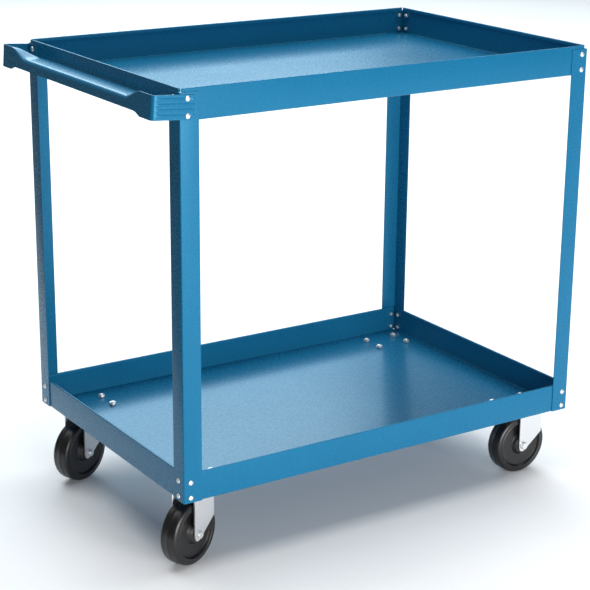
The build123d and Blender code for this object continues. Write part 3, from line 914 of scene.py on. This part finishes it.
class CART_OT_caster_mounts(bpy.types.Operator):
    """Make the casters' plates and bolt them under the lower tray"""

    bl_idname = "cart.caster_mounts"
    bl_label = "Caster mounts"

    def execute(self, context):
        sizes = context.scene.cart_casters
        colours = context.scene.cart_colours
        plated = shared_material(zinc_plate, "zinc_caster", colours.caster, 0.3)
        zinc = shared_material(zinc_plate, "zinc_fastener", colours.fastener, 0.2)
        deck = context.scene.cart_sizes.tray_sheet
        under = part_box("lower_tray")[0].z
        thickness = sizes.fork_sheet
        bottom = under - thickness
        for corner in CORNERS:
            node = f"{corner}_caster_plate"
            low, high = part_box(node)
            middle = middle_of(node)
            mesh = bmesh.new()
            if f"{corner}_kingpin" in frame["nodes"]:
                # Raceway under a swivel plate, with its ball groove, about the kingpin
                depth = bottom - low.z
                race = [
                    (sizes.race_inner, 0), (sizes.race_inner, depth), (sizes.race_outer, depth),
                    (sizes.race_outer, 0), (sizes.groove_outer, 0),
                    ((sizes.groove_inner + sizes.groove_outer) / 2, sizes.groove_depth),
                    (sizes.groove_inner, 0),
                ]
                turned(mesh, race, 64, closed=True)
                bmesh.ops.translate(mesh, verts=mesh.verts[:], vec=(middle.x, middle.y, low.z))
            plan = outline_face(mesh, [
                (low.x, low.y, bottom), (high.x, low.y, bottom),
                (high.x, high.y, bottom), (low.x, high.y, bottom),
            ])
            round_off(mesh, plan.verts[:], sizes.plate_corner, 6, "VERTICES")
            plan = max(mesh.faces, key=lambda f: f.calc_area())
            made = bmesh.ops.extrude_face_region(mesh, geom=[plan])["geom"]
            tops = [v for v in made if isinstance(v, bmesh.types.BMVert)]
            bmesh.ops.translate(mesh, verts=tops, vec=(0, 0, thickness))
            bmesh.ops.recalc_face_normals(mesh, faces=mesh.faces[:])
            piece = make_piece(mesh, f"{corner}_caster_plate_steel", "zinc_caster", plated, node)
            ease_edges(piece, sizes.plate_ease)
        grip = thickness + deck
        length = grip + sizes.nut_height + sizes.thread_past
        bolt = hex_bolt(
            sizes.bolt_radius, sizes.bolt_flats, sizes.head_height, grip, length,
            sizes.bolt_thread,
        )
        spots = caster_places(sizes)
        heads = [frame_at(p - thickness * UP, -UP) for p in spots]
        bolts = stamped(bolt, heads)
        make_piece(bolts, "caster_bolt_set", "zinc_fastener", zinc, "caster_bolts")
        nut = hex_nut(sizes.bolt_flats, sizes.nut_height, sizes.bolt_radius)
        nuts = stamped(nut, [frame_at(p + deck * UP, UP) for p in spots])
        make_piece(nuts, "caster_nut_set", "zinc_fastener", zinc, "caster_nuts")
        return {"FINISHED"}


class CART_OT_forks(bpy.types.Operator):
    """Fold the four caster forks, and fit their axle bolts and nuts"""

    bl_idname = "cart.forks"
    bl_label = "Forks"

    def fold_fork(self, sizes, rise, swivels):
        """Fork as a bent sheet about the axle: X ahead, Y up, Z along the axle."""
        half = sizes.fork_width / 2
        back = -sizes.fork_toe
        front = sizes.fork_front
        # The front edge slants down to touch the toe's circle, and meets the back edge below it
        reach = math.hypot(front, sizes.fork_knee)
        swing = math.atan2(sizes.fork_knee, front) - math.acos(sizes.fork_toe / reach)
        touch = sizes.fork_toe * Vector((math.cos(swing), math.sin(swing)))
        slope = (sizes.fork_knee - touch.y) / (front - touch.x)
        point = touch.y + (back - touch.x) * slope
        mesh = bmesh.new()
        rear = [mesh.verts.new((back, rise, z)) for z in (-half, half)]
        nose = [mesh.verts.new((front, rise, z)) for z in (-half, half)]
        crown = [rear[0], nose[0]]
        if swivels:
            # The crown's front end is round about the kingpin
            pin = sizes.swivel_lead
            swing = math.acos((front - pin) / half)
            steps = 16
            for i in range(steps + 1):
                angle = swing * (2 * i / steps - 1)
                spot = (pin + half * math.cos(angle), rise, half * math.sin(angle))
                crown.append(mesh.verts.new(spot))
        crown += [nose[1], rear[1]]
        mesh.faces.new(crown)
        toes, knees = [], []
        for i, z in enumerate((-half, half)):
            knee = mesh.verts.new((front, sizes.fork_knee, z))
            toe = mesh.verts.new((back, point, z))
            mesh.faces.new([rear[i], nose[i], knee, toe])
            toes.append(toe)
            knees.append(knee)
        round_off(mesh, toes, -point, 14, "VERTICES")
        if not swivels:
            self.notch_crown(mesh, sizes, rise)
        folds = [
            e for e in mesh.edges
            if len(e.link_faces) == 2 and all(abs(v.co.y - rise) < HAIR for v in e.verts)
        ]
        round_off(mesh, folds, sizes.fork_fold, 5)
        turn_outwards(mesh, Vector((0, 0, 0)))
        return mesh

    def notch_crown(self, mesh, sizes, rise):
        """Cut the notches that clear the heads of the plate's front bolts."""
        floor = rise - sizes.notch_depth
        for x in (sizes.notch_start, sizes.notch_end):
            cut_across(mesh, (x, 0, 0), (1, 0, 0))
        for z in (-sizes.notch_inner, sizes.notch_inner):
            cut_across(mesh, (0, 0, z), (0, 0, 1))
        cut_across(mesh, (0, floor, 0), (0, 1, 0))
        inside = [
            f for f in mesh.faces
            if sizes.notch_start < f.calc_center_median().x < sizes.notch_end
            and f.calc_center_median().y > floor
            and abs(f.calc_center_median().z) > sizes.notch_inner
        ]
        bmesh.ops.delete(mesh, geom=inside, context="FACES")

    def execute(self, context):
        sizes = context.scene.cart_casters
        colours = context.scene.cart_colours
        plated = shared_material(zinc_plate, "zinc_caster", colours.caster, 0.3)
        zinc = shared_material(zinc_plate, "zinc_fastener", colours.fastener, 0.2)
        half = sizes.fork_width / 2
        length = sizes.fork_width + sizes.axle_nut + sizes.thread_past
        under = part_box("lower_tray")[0].z - sizes.fork_sheet
        for corner in CORNERS:
            axle, ahead, outwards = caster_frame(corner)
            swivels = f"{corner}_kingpin" in frame["nodes"]
            rise = under - axle.z - (sizes.fork_drop if swivels else 0)
            mesh = self.fold_fork(sizes, rise, swivels)
            bmesh.ops.transform(mesh, matrix=side_view(axle, ahead), verts=mesh.verts[:])
            piece = make_piece(
                mesh, f"{corner}_fork_pressing", "zinc_caster", plated, f"{corner}_fork"
            )
            thicken(piece, sizes.fork_sheet)
            ease_edges(piece, sizes.fork_ease, 3)
            bolt = hex_bolt(
                sizes.axle_radius, sizes.axle_flats, sizes.axle_head, sizes.fork_width, length,
                sizes.axle_thread,
            )
            head = frame_at(axle + half * outwards, outwards)
            make_piece(
                stamped(bolt, [head]), f"{corner}_axle_bolt_turned", "zinc_fastener", zinc,
                f"{corner}_axle_bolt",
            )
            nut = hex_nut(sizes.axle_flats, sizes.axle_nut, sizes.axle_radius)
            seat = frame_at(axle - half * outwards, -outwards)
            make_piece(
                stamped(nut, [seat]), f"{corner}_axle_nut_pressed", "zinc_fastener", zinc,
                f"{corner}_axle_nut",
            )
        return {"FINISHED"}


class CART_OT_wheels(bpy.types.Operator):
    """Turn the four moulded wheels"""

    bl_idname = "cart.wheels"
    bl_label = "Wheels"

    def execute(self, context):
        sizes = context.scene.cart_casters
        black = shared_material(moulded_phenolic, context.scene.cart_colours.wheel)
        for corner in CORNERS:
            axle, _, outwards = caster_frame(corner)
            low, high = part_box(f"{corner}_wheel")
            radius = (high.z - low.z) / 2
            half_hub = sizes.hub_length / 2
            bore = sizes.bore_radius
            face = sizes.tread / 2
            floor = face - sizes.dish
            line = sizes.parting_line
            bead = sizes.rim_bead
            inner = sizes.rim_inner
            half_outline = [
                (bore, half_hub), (sizes.hub_radius, half_hub),
                (sizes.hub_radius + sizes.dish, floor), (inner - sizes.dish / 2, floor),
                (inner, face), (inner + bead, face + bead), (inner + 3 * bead, face + bead),
                (inner + 4 * bead, face), (radius - line, face), (radius - line, 2 * line),
                (radius, line / 2),
            ]
            mirrored = [(r, -z) for r, z in reversed(half_outline)]
            mesh = bmesh.new()
            section = outline_face(mesh, [(r, 0, z) for r, z in half_outline + mirrored])
            shoulders = [
                v for v in section.verts
                if abs(v.co.x - radius + line) < HAIR and abs(abs(v.co.z) - face) < HAIR
            ]
            round_off(mesh, shoulders, sizes.shoulder, 8, "VERTICES")
            soft = [v for v in mesh.verts if bore + HAIR < v.co.x < inner + HAIR]
            round_off(mesh, soft, sizes.mould_radius, 3, "VERTICES")
            bmesh.ops.delete(mesh, geom=mesh.faces[:], context="FACES_ONLY")
            spin_round(mesh, mesh.verts[:] + mesh.edges[:], 128)
            bmesh.ops.transform(mesh, matrix=frame_at(axle, outwards), verts=mesh.verts[:])
            make_piece(
                mesh, f"{corner}_wheel_moulding", "black_wheel", black, f"{corner}_wheel",
                sharp=50,
            )
        return {"FINISHED"}


class CART_OT_bearings(bpy.types.Operator):
    """Give the balls, races, kingpins, sleeves and bushings their metals"""

    bl_idname = "cart.bearings"
    bl_label = "Bearings"

    def execute(self, context):
        colours = context.scene.cart_colours
        ground = shared_material(bearing_steel, colours.steel)
        bronze = shared_material(sintered_bronze, colours.bronze)
        zinc = shared_material(zinc_plate, "zinc_caster", colours.caster, 0.3)
        metals = {
            "kingpin": zinc, "lower_race": zinc, "upper_balls": ground,
            "lower_balls": ground, "axle_sleeve": ground, "wheel_bushing": bronze,
        }
        for name, node in frame["nodes"].items():
            for ending, metal in metals.items():
                if name.endswith(ending):
                    node.data.materials.clear()
                    node.data.materials.append(metal)
        return {"FINISHED"}


class CART_OT_stage(bpy.types.Operator):
    """Lay the floor and set up the soft lights and the camera"""

    bl_idname = "cart.stage"
    bl_label = "Stage"

    def add_light(self, name, place, target, size, power, colour=(1, 1, 1)):
        light = bpy.data.lights.new(name, "AREA")
        light.shape = "RECTANGLE"
        light.size, light.size_y = size
        light.energy = power
        light.color = colour
        lamp = bpy.data.objects.new(name, light)
        aim = (Vector(target) - Vector(place)).to_track_quat("-Z", "Y")
        lamp.matrix_world = Matrix.Translation(place) @ aim.to_matrix().to_4x4()
        bpy.context.scene.collection.objects.link(lamp)

    def add_floor(self, colour):
        mesh = bmesh.new()
        # It ends just behind the handle, so that the cart's end faces look out on a dark room
        near, far = Vector((-0.95, -8, 0)), Vector((24, 24, 0))
        outline_face(mesh, [near, (far.x, near.y, 0), far, (near.x, far.y, 0)])
        data = bpy.data.meshes.new("studio_floor")
        mesh.to_mesh(data)
        mesh.free()
        data.materials.append(shared_material(matt_floor, colour))
        floor = bpy.data.objects.new("studio_floor", data)
        bpy.context.scene.collection.objects.link(floor)

    def add_camera(self):
        """Look down at the near corner of the handle end."""
        turn = math.radians(-33.01)
        rise = math.radians(17.62)
        roll = math.radians(0.53)
        stand = Vector((-1.7978, -2.7722, 1.4451))
        back = Vector(
            (math.sin(turn) * math.cos(rise), -math.cos(turn) * math.cos(rise), math.sin(rise))
        )
        right = (-back).cross(UP).normalized()
        above = right.cross(-back)
        across = math.cos(roll) * right + math.sin(roll) * above
        upright = -math.sin(roll) * right + math.cos(roll) * above
        camera = bpy.data.objects.new("camera", bpy.data.cameras.new("camera"))
        camera.data.lens = 103.4
        camera.data.sensor_width = 36
        axes = Matrix((across, upright, back)).transposed().to_4x4()
        camera.matrix_world = Matrix.Translation(stand) @ axes
        bpy.context.scene.collection.objects.link(camera)
        bpy.context.scene.camera = camera

    def execute(self, context):
        scene = context.scene
        self.add_floor(scene.cart_colours.floor)
        world = bpy.data.worlds.new("studio")
        world.use_nodes = True
        room = world.node_tree.nodes["Background"]
        room.inputs["Color"].default_value = (0.9, 0.95, 1, 1)
        room.inputs["Strength"].default_value = 0.16
        scene.world = world
        scene.view_settings.view_transform = "Standard"
        centre = (0, 0, 0.45)
        self.add_light("front_softbox", (-0.2, -3.2, 0.75), (0, 0, 0.5), (2.2, 1.2), 100)
        self.add_light(
            "back_softbox", (2.5, 6.5, 4.0), centre, (4.2, 2.6), 185, colour=(0.62, 0.86, 1)
        )
        self.add_light("overhead_softbox", (1.5, 2.0, 6.0), (1.5, 2.0, 0), (9.0, 9.0), 700)
        self.add_camera()
        return {"FINISHED"}


STEPS = (
    CART_OT_trays, CART_OT_legs, CART_OT_handle, CART_OT_frame_bolts, CART_OT_caster_mounts,
    CART_OT_forks, CART_OT_wheels, CART_OT_bearings, CART_OT_stage,
)


class CART_PT_panel(bpy.types.Panel):
    """Lists the cart's pieces and their settings"""

    bl_idname = "CART_PT_panel"
    bl_label = "Stock Cart"
    bl_space_type = "VIEW_3D"
    bl_region_type = "UI"
    bl_category = "Stock Cart"

    def draw(self, context):
        layout = self.layout
        for step in STEPS:
            layout.operator(step.bl_idname)
        for group in SETTINGS:
            settings = getattr(context.scene, group)
            column = layout.column(align=True)
            for name in settings.bl_rna.properties.keys():
                if name not in ("rna_type", "name"):
                    column.prop(settings, name)


SETTINGS = {
    "cart_sizes": CartSizes,
    "cart_handle": HandleSizes,
    "cart_casters": CasterSizes,
    "cart_colours": CartColours,
}
CLASSES = (*SETTINGS.values(), *STEPS, CART_PT_panel)


def register():
    for cls in CLASSES:
        bpy.utils.register_class(cls)
    for name, group in SETTINGS.items():
        setattr(bpy.types.Scene, name, PointerProperty(type=group))


def unregister():
    for name in SETTINGS:
        delattr(bpy.types.Scene, name)
    for cls in reversed(CLASSES):
        bpy.utils.unregister_class(cls)


def main():
    register()
    for step in STEPS:
        area, name = step.bl_idname.split(".")
        getattr(getattr(bpy.ops, area), name)()


if __name__ == "__main__":
    main()
